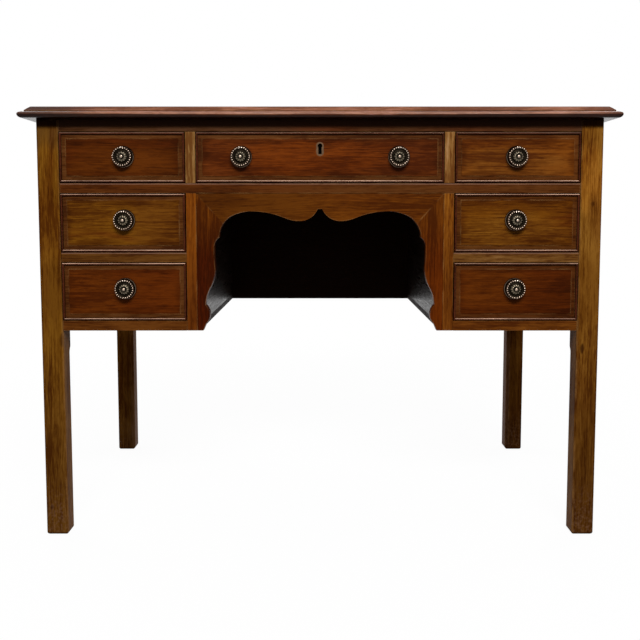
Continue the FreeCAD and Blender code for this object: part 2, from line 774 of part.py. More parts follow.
def drawer_side(name, x, low, high):
    """One side of a drawer with dovetails on its front end."""
    pieces = [block(f"{name}_plate", x, (FRONT_INSIDE, "dims.drawer_rear"), (low, high))]
    for index in range(TAILS):
        tail = doc.addObject("Part::Wedge", f"{name}_tail_{index}")
        tail.Ymin = tail.Zmin = tail.Z2min = 0
        for key, half in (("X", "dims.tail_narrow"), ("X2", "dims.tail_wide")):
            tail.setExpression(f"{key}min", f"-{half}")
            tail.setExpression(f"{key}max", half)
        tail.setExpression("Ymax", "dims.tail_length")
        tail.setExpression("Zmax", "dims.side_thickness")
        tail.setExpression("Z2max", "dims.side_thickness")
        tail.Placement.Rotation = FreeCAD.Rotation(
            FreeCAD.Vector(0, 0, 1), FreeCAD.Vector(0, -1, 0), FreeCAD.Vector(1, 0, 0), "XYZ")
        share = (index + 0.5) / TAILS
        place(tail, x[0], FRONT_INSIDE, f"{low} + {share} * ({high} - {low})")
        pieces.append(tail)
    return fused(f"{name}_stock", pieces)


def drawer(name, x, z, knobs, extra_room=()):
    """A drawer in the opening x by z, with a knob at each place in knobs."""
    left, right = f"({x[0]} + dims.drawer_gap)", f"({x[1]} - dims.drawer_gap)"
    bottom, top = f"({z[0]} + dims.drawer_gap)", f"({z[1]} - dims.drawer_gap)"

    def slab(key, inset, y):
        return block(f"{name}_{key}", (f"{left} + ({inset})", f"{right} - ({inset})"), y,
                     (f"{bottom} + ({inset})", f"{top} - ({inset})"))

    step = f"({FRONT} + dims.field_height)"
    front_stock = fused(f"{name}_front_stock", [
        slab("slab", "0", (BEAD_SEAT, FRONT_INSIDE)),
        slab("bead_step", "dims.bead_width", (step, BEAD_SEAT)),
        slab("field", "dims.bead_width + dims.field_width", (FRONT, step)),
    ])
    panel_z = (f"{z[0]} + dims.bottom_height", f"{z[0]} + dims.bottom_height + dims.bottom_thickness")
    hold = "dims.side_thickness - dims.groove_depth"
    panel = block(f"{name}_bottom", (f"{left} + {hold}", f"{right} - ({hold})"),
                  (f"{FRONT_INSIDE} - dims.groove_depth", "dims.drawer_rear"), panel_z)
    hold = "dims.side_thickness - dims.dado_depth"
    back_end = "(dims.drawer_rear - dims.back_set)"
    back = block(f"{name}_back", (f"{left} + {hold}", f"{right} - ({hold})"),
                 (f"{back_end} - dims.drawer_back", back_end), (panel_z[1], f"{z[1]} - dims.back_drop"))
    sides = []
    for key, side_x in (("left", (left, f"{left} + dims.side_thickness")),
                        ("right", (f"{right} - dims.side_thickness", right))):
        stock = drawer_side(f"{name}_{key}_side", side_x, f"({z[0]} + dims.side_lift)",
                            f"({z[1]} - dims.side_drop)")
        sides.append(fitted(f"{name}_{key}_side", stock, [panel, back]))

    studs = [stud_room(f"{name}_{key}_front", *spot) for key, spot in knobs.items()]
    part(f"{name}_front", fitted(f"{name}_front", front_stock, sides + [panel] + studs + list(extra_room)))
    part(f"{name}_cockbead", grouped(f"{name}_cockbead", cockbead(name, left, right, bottom, top)))
    part(f"{name}_box", grouped(f"{name}_box", sides + [back]))
    part(f"{name}_bottom", panel)
    pieces = []
    for key, (knob_x, knob_z) in knobs.items():
        pieces += knob(f"{name}_{key}_knob", knob_x, knob_z)
    part(f"{name}_knob", grouped(f"{name}_knob", pieces))


# Lock of the centre drawer, its bolt and the escutcheon round the keyhole.
KEY_HIGH = f"({UPPER_LOW} + dims.key_height)"
lock_top = f"({UPPER_HIGH} - dims.drawer_gap)"
lock_stock = block("lock_stock", across("dims.lock_width / 2"), (LOCK_FRONT, FRONT_INSIDE),
                   (f"{lock_top} - dims.lock_height", lock_top))
bolt_top = f"({lock_top} - dims.bolt_below)"
bolt = block("lock_bolt", across("dims.bolt_width / 2"), bolt_y, (f"{bolt_top} - dims.bolt_height", bolt_top))
bolt_way = block("bolt_way", across("dims.bolt_width / 2 + dims.bolt_room"),
                 (f"{bolt_y[0]} - dims.bolt_room", f"{bolt_y[1]} + dims.bolt_room"),
                 (f"{bolt_top} - dims.bolt_height - dims.bolt_room", lock_top))


def keyhole(name, finish):
    """A round hole over a slot, from the face of the drawer front back to finish."""
    eye = rod(f"{name}_eye", "dims.key_radius", f"{finish} - ({FRONT})", "0", FRONT, KEY_HIGH, (0, 1, 0))
    slot = block(f"{name}_slot", across("dims.key_slot_width / 2"), (FRONT, finish),
                 (f"{KEY_HIGH} - dims.key_drop", KEY_HIGH))
    return fused(name, [eye, slot])


escutcheon_low = f"({KEY_HIGH} - dims.escutcheon_drop)"
plate_ends = [rod(f"escutcheon_end_{word}", "dims.escutcheon_radius", "dims.escutcheon_depth",
                  "0", FRONT, height, (0, 1, 0))
              for word, height in (("high", KEY_HIGH), ("low", escutcheon_low))]
plate_middle = block("escutcheon_middle", across("dims.escutcheon_radius"),
                     (FRONT, f"{FRONT} + dims.escutcheon_depth"), (escutcheon_low, KEY_HIGH))
plate = fused("escutcheon_plate", plate_ends + [plate_middle])
key_way = keyhole("key_way", bolt_y[0])
part("escutcheon", fitted("escutcheon", plate, [key_way]))
part("lock_case", fitted("lock_case", lock_stock, [bolt_way, key_way]))
part("lock_bolt", bolt)


# The seven drawers.
stops = []


def stop_pair(name, x, low):
    """Two stops on the rail, just behind a drawer front."""
    for share in STOP_SHARES:
        middle = f"({x[0]}) + {share} * (({x[1]}) - ({x[0]}))"
        start = f"({FRONT_INSIDE} + dims.stop_clearance)"
        stops.append(block(f"{name}_stop_{len(stops)}", around(middle, "dims.stop_width / 2"),
                           (start, f"{start} + dims.stop_depth"), (low, f"{low} + dims.stop_height")))


ROWS = {
    "upper": (UPPER_LOW, UPPER_HIGH, "dims.upper_knob_height"),
    "middle": (MIDDLE_LOW, MIDDLE_HIGH, "dims.middle_knob_height"),
    "lower": (LOWER_LOW, LOWER_HIGH, "dims.lower_knob_height"),
}
for row_name, (low, high, knob_height) in ROWS.items():
    for word, side in SIDES.items():
        name = f"{row_name}_{word}_drawer"
        x = span(side, STILE_OUT, LEG_INSIDE)
        drawer(name, x, (low, high), {"one": (f"{side} * dims.knob_out", f"{low} + {knob_height}")})
        stop_pair(name, x, low)

centre_x = across("dims.knee_half")
knob_z = f"{UPPER_LOW} + dims.upper_knob_height"
centre_knobs = {word: (f"{side} * dims.centre_knob_out", knob_z) for word, side in SIDES.items()}
drawer("centre_drawer", centre_x, (UPPER_LOW, UPPER_HIGH), centre_knobs, [lock_stock, plate, key_way])
stop_pair("centre_drawer", centre_x, UPPER_LOW)
part("guides_and_stops", grouped("guides_and_stops", guides + stops))

doc.recompute()

# Nothing is written unless every object is sound.
failed = [thing.Label for thing in doc.Objects if "Invalid" in thing.State or "Error" in thing.State]
for piece in parts:
    if piece.Shape.isNull() or not piece.Shape.isValid() or not piece.Shape.Solids:
        failed.append(piece.Label)
if failed:
    raise RuntimeError("not sound: " + ", ".join(failed))

os.makedirs("parts", exist_ok=True)
for piece in parts:
    piece.Shape.exportStep(f"parts/{piece.Label}.step")
print(len(parts), "sub-parts written")
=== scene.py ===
import math

import bmesh
import bpy
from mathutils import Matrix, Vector


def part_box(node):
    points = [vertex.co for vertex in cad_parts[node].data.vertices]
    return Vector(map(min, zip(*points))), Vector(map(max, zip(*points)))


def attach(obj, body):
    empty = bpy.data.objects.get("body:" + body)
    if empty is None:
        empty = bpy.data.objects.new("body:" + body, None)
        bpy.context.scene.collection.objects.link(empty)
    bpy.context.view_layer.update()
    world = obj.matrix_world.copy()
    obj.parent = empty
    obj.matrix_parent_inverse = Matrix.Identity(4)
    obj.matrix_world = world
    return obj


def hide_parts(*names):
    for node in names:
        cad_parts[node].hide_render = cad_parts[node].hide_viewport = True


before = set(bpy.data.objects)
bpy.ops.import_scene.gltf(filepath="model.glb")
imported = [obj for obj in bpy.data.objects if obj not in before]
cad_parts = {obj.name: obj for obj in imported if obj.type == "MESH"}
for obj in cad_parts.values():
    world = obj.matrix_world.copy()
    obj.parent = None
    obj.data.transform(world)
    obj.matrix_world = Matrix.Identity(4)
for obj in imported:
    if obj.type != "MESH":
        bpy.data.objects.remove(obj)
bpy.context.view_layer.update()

# Knee-hole writing table: polished mahogany, dark beaded brass knobs, on a plain pale floor.
# Lengths are in metres unless a comment says otherwise. The front faces -Y, and the left is -X.

MM = 0.001

# Colours are written as display values from 0 to 255.
# Against its middle tone, a piece of wood is redder in its dark tone and more golden in its light one.
DARK_SHARES = (0.72, 0.60, 0.45)
LIGHT_SHARES = (1.18, 1.27, 1.65)


def colour(red, green, blue):
    """A display colour as the linear RGBA that shaders take."""
    def linear(level):
        share = level / 255
        return share / 12.92 if share <= 0.04045 else ((share + 0.055) / 1.055) ** 2.4
    return (linear(red), linear(green), linear(blue), 1.0)


def shades(*middle):
    """Dark, middle and light tones of a piece of wood, from the display values of its middle tone."""
    dark = [level * share for level, share in zip(middle, DARK_SHARES)]
    light = [level * share for level, share in zip(middle, LIGHT_SHARES)]
    return colour(*dark), colour(*middle), colour(*light)


# Short ways to build shader nodes. Noise mostly stays between these two levels.
NOISE_LOW = 0.3
NOISE_HIGH = 0.7


class Shader:
    """The node tree of one new material."""

    NUMBERS = ("DOT_PRODUCT", "LENGTH")

    def __init__(self, name):
        self.material = bpy.data.materials.new(name)
        self.material.use_nodes = True
        self.tree = self.material.node_tree
        self.surface = self.tree.nodes["Principled BSDF"]
        self.output = self.tree.nodes["Material Output"]

    def put(self, socket, given):
        """Link another node's output to a socket, or set the socket's own value."""
        if isinstance(given, bpy.types.NodeSocket):
            self.tree.links.new(given, socket)
        else:
            socket.default_value = given

    def feed(self, node, **inputs):
        """Fill inputs by name, with spaces written as underscores."""
        for key, given in inputs.items():
            self.put(node.inputs[key.replace("_", " ")], given)

    def add(self, kind, settings=(), **inputs):
        """A node with its settings and inputs."""
        node = self.tree.nodes.new(f"ShaderNode{kind}")
        for key, setting in dict(settings).items():
            setattr(node, key, setting)
        self.feed(node, **inputs)
        return node

    def math(self, operation, first, second=0.0, clamp=False):
        """One operation on numbers."""
        node = self.add("Math", {"operation": operation, "use_clamp": clamp})
        self.put(node.inputs[0], first)
        self.put(node.inputs[1], second)
        return node.outputs[0]

    def times(self, first, second):
        """The product of two numbers."""
        return self.math("MULTIPLY", first, second)

    def vector(self, operation, first, second=(0.0, 0.0, 0.0)):
        """One operation on vectors."""
        node = self.add("VectorMath", {"operation": operation})
        self.put(node.inputs[0], first)
        self.put(node.inputs[1], second)
        return node.outputs["Value" if operation in self.NUMBERS else "Vector"]

    def noise(self, place, size, detail=3.0, roughness=0.5, distortion=0.0):
        """Noise whose features are about size metres along each axis."""
        scaled = self.vector("MULTIPLY", place, [1 / length for length in size])
        node = self.add("TexNoise", Vector=scaled, Scale=1.0, Detail=detail, Roughness=roughness,
                        Distortion=distortion)
        return node.outputs["Fac"]

    def between(self, level, low, high, to_low=0.0, to_high=1.0, smooth=False):
        """Map low to high onto another range, held at its ends."""
        settings = {"interpolation_type": "SMOOTHSTEP" if smooth else "LINEAR"}
        node = self.add("MapRange", settings, Value=level, From_Min=low, From_Max=high,
                        To_Min=to_low, To_Max=to_high)
        return node.outputs["Result"]

    def spread(self, noise, low, high):
        """Map noise, which mostly stays near its middle, onto the whole of a range."""
        return self.between(noise, NOISE_LOW, NOISE_HIGH, low, high)

    def ramp(self, level, stops):
        """Colours along a level; stops are (place, colour)."""
        node = self.add("ValToRGB", Fac=level)
        band = node.color_ramp
        band.interpolation = "EASE"
        while len(band.elements) < len(stops):
            band.elements.new(1.0)
        for element, (place, tone) in zip(band.elements, stops):
            element.position = place
            element.color = tone
        return node.outputs["Color"]

    def mix(self, share, first, second):
        """The first colour, with a share of it turned into the second."""
        return self.add("MixRGB", Fac=share, Color1=first, Color2=second).outputs["Color"]


# Wood. Sizes of features run along the grain first, then across it.
GRAIN_ORDER = {"X": (0, 1, 2), "Y": (1, 0, 2), "Z": (2, 0, 1)}
# Shifts that give each piece and board a stretch of grain of its own, and how far boards differ in tone.
SEED_STEP = (1.37, 0.71, 0.53)
BOARD_STEP = 3.7
BOARD_TONE = 0.03
BEND_RATE = (2.4, 8.0, 8.0)
BEND_REACH = (0.0, 0.022, 0.022)
STREAK_SIZE = (0.30, 0.012, 0.012)
FINE_SIZE = (0.10, 0.0020, 0.0020)
PORE_SIZE = (0.012, 0.0009, 0.0009)
FLECK_SIZE = (0.018, 0.0030, 0.0030)
CLOUD_SIZE = (0.17, 0.06, 0.06)
PORE_LEVELS = (0.58, 0.70)
# Weights of the streaks, fine grain, flecks and clouds in the tone, and the levels of the three tones.
GRAIN_WEIGHTS = (0.22, 0.31, 0.16, 0.31)
TONE_LEVELS = (0.44, 0.50, 0.56)
# A glow's edge, as squares of its reach: where it ends, where it is full and how uneven it is.
GLOW_END = 1.3
GLOW_FULL = 0.1
GLOW_UNEVEN = 0.45
GLOW_EDGE_SIZE = (0.10, 0.014, 0.014)
KNOT = colour(44, 16, 4)
KNOT_SHARE = 0.8
# Pale wear and painted highlight along the upper side of a bead or nose: how soon it is full, where it ends,
# and how uneven it is.
RUB_HIGHLIGHT_FADE = 0.32
RUB_HIGHLIGHT_END = (0.95, 0.80)
RUB_HIGHLIGHT_SIZE = (0.09, 0.02, 0.02)
RUB_HIGHLIGHT_LEVELS = (0.35, 0.62)
RUB_HIGHLIGHT_LEAST = 0.35
# Worn arrises: their tone, how far the surface turns there, and the patches of wear.
WORN = colour(150, 108, 62)
ARRIS_TURN = (0.995, 0.93)
WEAR_SIZE = (0.03, 0.03, 0.03)
WEAR_LEVELS = (0.40, 0.62)
# The colour of dirt and of painted shade, and how open a corner is where the painted shade is darkest and
# where there is none.
DIRT_AND_SHADE = colour(20, 3, 1)
CORNER_LEVELS = (0.25, 0.88)
# Polish: tints of its shine, the pores' part in tone and roughness, and the relief of the fine grain.
WOOD_SHINE = (1.0, 0.66, 0.42, 1.0)
PLAIN_SHINE = (1.0, 0.93, 0.88, 1.0)
PORE_TONE = 0.45
PORE_ROUGHNESS = 0.3
GLOSS_LEVELS = (0.35, 0.8)
FINE_RELIEF = 0.4
RELIEF_STRENGTH = 0.25
RELIEF_DEPTH = 0.25 * MM


class Wood(Shader):
    """Solid wood with its grain along one axis of the table."""

    def __init__(self, name, grain, tones, seed, boards=None):
        super().__init__(name)
        self.tones = tones
        self.place = self.add("TexCoord").outputs["Object"]
        self.axes = list(self.add("SeparateXYZ", Vector=self.place).outputs)
        self.x, self.y, self.z = self.axes
        ordered = [self.axes[index] for index in GRAIN_ORDER[grain]]
        along = self.add("CombineXYZ", X=ordered[0], Y=ordered[1], Z=ordered[2]).outputs[0]
        along = self.vector("ADD", along, [seed * step for step in SEED_STEP])
        self.board_level = None
        if boards:
            along = self.cut_into_boards(along, *boards)
        self.along = along

        line = self.bend(along)
        streak = self.noise(line, STREAK_SIZE, detail=5.0, roughness=0.65)
        self.fine = self.noise(line, FINE_SIZE, roughness=0.7)
        self.pore = self.between(self.noise(line, PORE_SIZE, detail=1.0), *PORE_LEVELS)
        fleck = self.noise(line, FLECK_SIZE, detail=2.0, roughness=0.6)
        cloud = self.noise(along, CLOUD_SIZE, distortion=0.6)
        self.level = self.board_level
        for layer, weight in zip((streak, self.fine, fleck, cloud), GRAIN_WEIGHTS):
            share = self.times(layer, weight)
            self.level = self.math("ADD", self.level, share) if self.level else share
        self.tone = self.coloured(tones)

    def cut_into_boards(self, along, axis, width):
        """Shift the grain from board to board; boards of one width lie side by side along an axis."""
        row = self.math("FLOOR", self.math("DIVIDE", self.axes[axis], width))
        chance = self.add("TexWhiteNoise", {"noise_dimensions": "1D"}, W=row).outputs["Value"]
        self.board_level = self.between(chance, 0.0, 1.0, -BOARD_TONE, BOARD_TONE)
        step = self.add("CombineXYZ", X=self.times(row, BOARD_STEP)).outputs[0]
        return self.vector("ADD", along, step)

    def bend(self, along):
        """Let the lines of the grain wander sideways."""
        slow = self.vector("MULTIPLY", along, BEND_RATE)
        chance = self.add("TexNoise", Vector=slow, Scale=1.0, Detail=2.0).outputs["Color"]
        shift = self.vector("SUBTRACT", chance, (0.5, 0.5, 0.5))
        return self.vector("ADD", along, self.vector("MULTIPLY", shift, BEND_REACH))

    def coloured(self, tones):
        """The grain in three tones."""
        return self.ramp(self.level, list(zip(TONE_LEVELS, tones)))

    def blush(self, tones, share):
        """Lay other tones over a share of the surface."""
        self.tone = self.mix(share, self.tone, self.coloured(tones))

    def lay_dirt_and_shade(self, share):
        """Lay the colour of dirt and painted shade over a share of the surface."""
        self.tone = self.mix(share, self.tone, DIRT_AND_SHADE)

    def patches(self, size, low, high):
        """Soft patches, drawn out along the grain."""
        noise = self.noise(self.along, size, detail=2.0, distortion=0.8)
        return self.between(noise, low, high, smooth=True)

    def glow(self, centre, reach):
        """A soft oval patch on the front, with an uneven edge; centre and reach are (x, z)."""
        away = []
        for axis, middle, radius in zip((self.x, self.z), centre, reach):
            offset = self.math("SUBTRACT", axis, middle)
            away.append(self.math("POWER", self.math("DIVIDE", offset, radius), 2.0))
        ragged = self.spread(self.noise(self.along, GLOW_EDGE_SIZE), -GLOW_UNEVEN, GLOW_UNEVEN)
        distance = self.math("ADD", self.math("ADD", *away), ragged)
        return self.between(distance, GLOW_END, GLOW_FULL, smooth=True)

    def inside(self, low, high):
        """How far a point of the front lies inside a rectangle; low and high are (x, z)."""
        depths = []
        for axis, first, last in zip((self.x, self.z), low, high):
            depths.append(self.math("SUBTRACT", axis, first))
            depths.append(self.math("SUBTRACT", last, axis))
        nearest = depths[0]
        for depth in depths[1:]:
            nearest = self.math("MINIMUM", nearest, depth)
        return nearest

    def knot(self, centre, reach):
        """A small dark knot on the front; centre and reach are (x, z)."""
        self.tone = self.mix(self.times(self.glow(centre, reach), KNOT_SHARE), self.tone, KNOT)

    def facing(self, axis):
        """How far the surface faces along an axis of the table, from -1 to 1."""
        normal = self.add("NewGeometry").outputs["Normal"]
        return self.add("SeparateXYZ", Vector=normal).outputs[axis]

    def rub_and_highlight_upper_curve(self, tone, share, start=0.08):
        """Paint a pale line along the upper side of a bead or nose, from where it faces up by start; it is
        partly wear and partly a painted highlight where the surface faces the light.
        """
        slope = self.facing("Z")
        rise = self.between(slope, start, start + RUB_HIGHLIGHT_FADE, smooth=True)
        band = self.times(rise, self.between(slope, *RUB_HIGHLIGHT_END))
        uneven = self.between(self.noise(self.place, RUB_HIGHLIGHT_SIZE), *RUB_HIGHLIGHT_LEVELS, RUB_HIGHLIGHT_LEAST, 1.0)
        self.tone = self.mix(self.times(self.times(band, uneven), share), self.tone, tone)

    def worn_arrises(self, width):
        """The arrises, as far as they are worn."""
        rounded = self.add("Bevel", {"samples": 4}, Radius=width).outputs["Normal"]
        normal = self.add("NewGeometry").outputs["Normal"]
        bent = self.between(self.vector("DOT_PRODUCT", rounded, normal), *ARRIS_TURN)
        return self.times(bent, self.between(self.noise(self.place, WEAR_SIZE), *WEAR_LEVELS))

    def finish(self, shine=0.05, tint=WOOD_SHINE, roughness=(0.36, 0.52), worn=0.0, corner_shade=0.85,
               reach=7.0 * MM, dull=0.0, soft=0.0, edge=WORN, edge_reach=2.2 * MM):
        """Pores, worn arrises, painted shade in the corners and polish.

        worn is how far the arrises take the tone of edge, over a width of edge_reach.
        corner_shade is how much painted shade the corners hold, and reach how far it comes out of them.
        dull is added to the roughness, and soft is the radius to which handling has rounded the arrises.
        """
        tone = self.mix(self.times(self.pore, PORE_TONE), self.tone, self.tones[0])
        if worn:
            tone = self.mix(self.times(self.worn_arrises(edge_reach), worn), tone, edge)
        # Painted shade in the corners, darkest where the surface is least open.
        openness = self.add("AmbientOcclusion", {"samples": 6}, Distance=reach).outputs["AO"]
        tone = self.mix(self.between(openness, *CORNER_LEVELS, corner_shade, 0.0), tone, DIRT_AND_SHADE)
        grain = self.math("ADD", self.fine, self.times(self.pore, PORE_ROUGHNESS))
        gloss = self.math("ADD", self.between(grain, *GLOSS_LEVELS, *roughness), dull, clamp=True)
        height = self.math("SUBTRACT", self.times(self.fine, FINE_RELIEF), self.pore)
        bump = self.add("Bump", Strength=RELIEF_STRENGTH, Distance=RELIEF_DEPTH, Height=height)
        if soft:
            self.feed(bump, Normal=self.add("Bevel", {"samples": 8}, Radius=soft).outputs["Normal"])
        self.feed(self.surface, Base_Color=tone, Roughness=gloss, Normal=bump.outputs["Normal"],
                  Specular_IOR_Level=shine, Specular_Tint=tint)
        return self.material


# Metal.
SPOT_SIZE = (0.003, 0.003, 0.003)
SPOT_TONE = 0.12
SPOT_STRENGTH = 0.2
SPOT_DEPTH = 0.2 * MM
SMOOTHER = 0.08
ROUGHER = 0.10


def brass(name, recess, body, rubbed, roughness=0.34, stops=(0.30, 0.66, 0.95), reach=4.0 * MM):
    """Old metal: dark in its recesses, brighter where hands rub it; the three tones are display values."""
    shader = Shader(name)
    place = shader.add("TexCoord").outputs["Object"]
    spots = shader.noise(place, SPOT_SIZE, detail=4.0, roughness=0.6)
    openness = shader.add("AmbientOcclusion", {"samples": 8}, Distance=reach).outputs["AO"]
    exposed = shader.math("ADD", openness, shader.spread(spots, -SPOT_TONE, SPOT_TONE))
    tones = [colour(*tone) for tone in (recess, body, rubbed)]
    gloss = shader.spread(spots, roughness - SMOOTHER, roughness + ROUGHER)
    bump = shader.add("Bump", Strength=SPOT_STRENGTH, Distance=SPOT_DEPTH, Height=spots)
    shader.feed(shader.surface, Base_Color=shader.ramp(exposed, list(zip(stops, tones))), Metallic=1.0,
                Roughness=gloss, Normal=bump.outputs["Normal"])
    return shader.material


def dress(node, material):
    """Give a CAD node its material."""
    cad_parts[node].material_slots[0].material = material


SHARP_TURN = math.radians(30)
WELD_REACH = 0.01 * MM


def soften(node, width):
    """Round the arrises of a CAD node a little."""
    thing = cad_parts[node]
    weld = thing.modifiers.new("weld", "WELD")
    weld.merge_threshold = WELD_REACH
    bevel = thing.modifiers.new("arris", "BEVEL")
    bevel.width = width
    bevel.segments = 3
    bevel.limit_method = "ANGLE"
    bevel.angle_limit = SHARP_TURN
    normals = thing.modifiers.new("normals", "WEIGHTED_NORMAL")
    normals.keep_sharp = False
    normals.weight = 80


# Frame: grain, tone and rounding of the arrises, in millimetres, of each piece.
FRAME = {
    "front_leg_left": ("Z", (102, 62, 12), 1.2),
    "front_leg_right": ("Z", (110, 68, 18), 1.2),
    # The left rear leg is a lighter tone than the right one, a painted light against the shade it gets.
    "rear_leg_left": ("Z", (124, 76, 20), 1.2),
    "rear_leg_right": ("Z", (100, 60, 14), 1.2),
    "top_rail": ("X", (64, 37, 17), 0.7),
    "drawer_rail": ("X", (74, 38, 11), 0.7),
    "middle_rails": ("X", (103, 66, 26), 0.7),
    "bottom_rails": ("X", (97, 51, 11), 0.7),
    "upper_dividers": ("Z", (134, 93, 46), 0.7),
    "pedestal_stiles": ("Z", (119, 67, 14), 0.7),
    "arch_apron": ("X", (89, 43, 5), 0.5),
    "arch_bracket_left": ("Z", (63, 18, 1), 0.5),
    "arch_bracket_right": ("Z", (82, 32, 2), 0.5),
    "side_panel_left": ("Z", (90, 48, 12), 0.7),
    "side_panel_right": ("Z", (90, 48, 12), 0.7),
}
FRAME_SEED = 3
FRAME_WEAR = 0.6
# How much painted shade the frame's corners hold, and how far it comes out of them.
FRAME_CORNER_SHADE = 0.95
FRAME_CORNER_SHADE_REACH = 8.0 * MM
# Red figure in the frame.
RED = shades(74, 27, 4)
FRAME_FIGURE = ((0.30, 0.04, 0.04), 0.50, 0.72)
FRAME_FIGURE_SHARE = 0.55
# Mostly darker tones on the left, a painted shade on the left side of the table, for nodes that reach across
# the table; the tones meet in the middle.
LEFT_SHADE_TONES = {
    "drawer_rail": (74, 35, 8),
    "middle_rails": (82, 47, 13),
    "upper_dividers": (134, 97, 51),
    "pedestal_stiles": (104, 51, 7),
    "bottom_rails": (84, 43, 10),
    "arch_apron": (75, 36, 4),
}
LEFT_FADE = 0.1
# Heights between which the brackets take on the apron's tone, and the stiles a darker one.
BRACKET_FADE = (0.50, 0.60)
STILE_LOW = shades(82, 37, 6)
STILE_FADE = (0.56, 0.44)
STILE_SHARE = 0.75
# Painted shadow under the overhang of the top: how far below the top it begins, and how far below it is
# full.
TOP_LOW, TOP_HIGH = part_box("table_top")
OVERHANG_SHADOW_BEGINS = 18.0 * MM
OVERHANG_SHADOW_FULL = 9.0 * MM
OVERHANG_SHADOW_SHARE = 0.9
# Painted shade in the gaps between the beads and the rails above or below them, and the rubbed line next to
# a gap.
RAIL_GAPS = {"top_rail": "low", "drawer_rail": "high", "middle_rails": "high"}
GAP = 0.9 * MM
GAP_FADE = 0.4 * MM
GAP_SHADE_SHARE = 0.85
RUBBED = colour(152, 112, 92)
RUBBED_LINE = 2.2 * MM
RUBBED_FADE = 0.8 * MM
RUBBED_SHARE = 0.5

# Legs: darker tones towards the feet, a painted shade near the floor, and the heights between which they
# come in.
FOOT_SHADE_TONES = {
    "front_leg_left": (89, 54, 15),
    "front_leg_right": (72, 40, 9),
    "rear_leg_left": (114, 71, 24),
    "rear_leg_right": (74, 41, 9),
}
FOOT_FADE = (0.42, 0.10)
FOOT_SHADE_SHARE = 0.85
# Patches of another tone as the tone, the height of the middle, the reach up and down, and the share.
PATCHES = {
    "front_leg_left": (
        # The dark patch at the top of the left front leg is a painted shadow under the top.
        ((48, 29, 14), 0.735, 0.040, 0.5),
        ((112, 67, 15), 0.555, 0.060, 0.5),
        ((82, 45, 8), 0.445, 0.065, 0.7),
    ),
    "front_leg_right": (
        ((142, 86, 22), 0.650, 0.060, 0.5),
        ((88, 48, 8), 0.445, 0.070, 0.6),
    ),
}
PATCH_WIDTH = 0.06
# Knots as (x, z) of the centre and of the reach.
KNOTS = {
    "front_leg_left": (((-0.4625, 0.361), (0.007, 0.017)), ((-0.490, 0.052), (0.004, 0.006))),
    "front_leg_right": (((0.4850, 0.605), (0.005, 0.007)), ((0.4720, 0.345), (0.004, 0.010))),
}
# Inner faces: a painted light makes them paler than the rest on the front legs, and a painted shade darker
# and greyer on the rear ones.
FRONT_LEG_INNER_LIGHT = shades(126, 80, 34)
REAR_LEG_INNER_SHADE = shades(84, 58, 40)
INNER_FACING = (0.5, 0.9)
INNER_SHARE = 0.7
# Inner arrises are worn pale, and outer ones are dark, a painted shade where they turn away from the light.
LEG_OUTER_ARRIS_SHADE = colour(44, 22, 8)
ARRIS_FADE = 5.0 * MM
LEG_WEAR = 0.7
LEG_ROUND = 4.0 * MM
LEG_SHINE = 0.012
# Scuffs at the feet, and the heights between which they come in.
SCUFF = colour(124, 90, 66)
SCUFF_SIZE = (0.004, 0.004, 0.006)
SCUFF_LEVELS = (0.46, 0.66)
SCUFF_FADE = (0.12, 0.015)
SCUFF_SHARE = 0.45


def add_rail_gap(wood, node):
    """Painted shade in the gap along one edge of a rail, and the rubbed line beside it on an upper edge."""
    low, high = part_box(node)
    if RAIL_GAPS[node] == "high":
        depth = wood.math("SUBTRACT", high[2], wood.z)
        line = wood.between(depth, RUBBED_LINE + RUBBED_FADE, RUBBED_LINE)
        wood.tone = wood.mix(wood.times(line, RUBBED_SHARE), wood.tone, RUBBED)
    else:
        depth = wood.math("SUBTRACT", wood.z, low[2])
    # Painted shade in the gap.
    wood.lay_dirt_and_shade(wood.between(depth, GAP + GAP_FADE, GAP, 0.0, GAP_SHADE_SHARE))


def add_tones(wood, node):
    """Changes of tone from end to end of a piece of the frame, partly a painted shade on the left and at the
    feet, knots, painted shade in gaps and a painted shadow under the top.
    """
    low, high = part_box(node)
    middle = (low[0] + high[0]) / 2
    wood.blush(RED, wood.times(wood.patches(*FRAME_FIGURE), FRAME_FIGURE_SHARE))
    # Painted shade on the left side of the table.
    if node in LEFT_SHADE_TONES:
        wood.blush(shades(*LEFT_SHADE_TONES[node]), wood.between(wood.x, LEFT_FADE, -LEFT_FADE, smooth=True))
    if node.startswith("arch_bracket"):
        apron_tone = FRAME["arch_apron"][1]
        wood.blush(shades(*apron_tone), wood.between(wood.z, *BRACKET_FADE, smooth=True))
    # Painted shade that deepens towards the feet.
    if node in FOOT_SHADE_TONES:
        wood.blush(shades(*FOOT_SHADE_TONES[node]), wood.between(wood.z, *FOOT_FADE, 0.0, FOOT_SHADE_SHARE, smooth=True))
    if node == "pedestal_stiles":
        wood.blush(STILE_LOW, wood.between(wood.z, *STILE_FADE, 0.0, STILE_SHARE, smooth=True))
    for tone, height, reach, share in PATCHES.get(node, ()):
        patch = wood.glow((middle, height), (PATCH_WIDTH, reach))
        wood.blush(shades(*tone), wood.times(patch, share))
    for centre, reach in KNOTS.get(node, ()):
        wood.knot(centre, reach)
    # Painted shadow under the overhang of the top.
    if node == "top_rail" or node.startswith("front_leg"):
        begins = TOP_LOW[2] - OVERHANG_SHADOW_BEGINS
        full = TOP_LOW[2] - OVERHANG_SHADOW_FULL
        wood.lay_dirt_and_shade(wood.between(wood.z, begins, full, 0.0, OVERHANG_SHADOW_SHARE, smooth=True))
    if node in RAIL_GAPS:
        add_rail_gap(wood, node)


